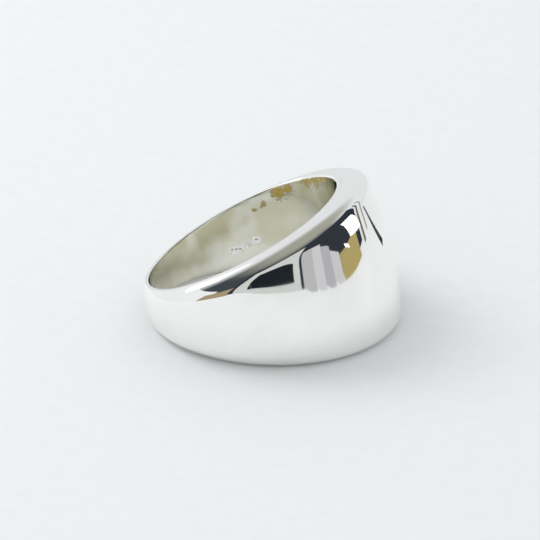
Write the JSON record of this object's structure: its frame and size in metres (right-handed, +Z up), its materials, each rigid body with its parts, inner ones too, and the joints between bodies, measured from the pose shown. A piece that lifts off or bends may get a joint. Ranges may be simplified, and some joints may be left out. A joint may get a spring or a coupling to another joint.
{
  "type": "signet ring",
  "caption": "Wide tapering finger ring with a plain domed head, narrow thin back, flat side edges and a bright polish, resting on one side edge.",
  "frame": {"origin": "centre of the ring's box, on the surface that the ring lies on", "axes": "+Z up from the lower side edge, +X from the narrow back towards the head, Y across the finger hole"},
  "size_m": [0.0214, 0.0216, 0.0126],
  "materials": {
    "polished_silver": "mirror-polished sterling silver",
    "lining_silver": "bright silver, slightly warmer and softer than the outside",
    "silver_solder": "polished silver solder, slightly yellower than the silver"
  },
  "bodies": {
    "root": {"head_shell": "polished_silver", "shank_back": "polished_silver", "shank_side": "polished_silver", "head_lining": "lining_silver", "lining_solder": "silver_solder", "seam_shoulder_far": "silver_solder", "seam_shoulder_near": "silver_solder", "seam_shank": "silver_solder"}
  },
  "joints": []
}
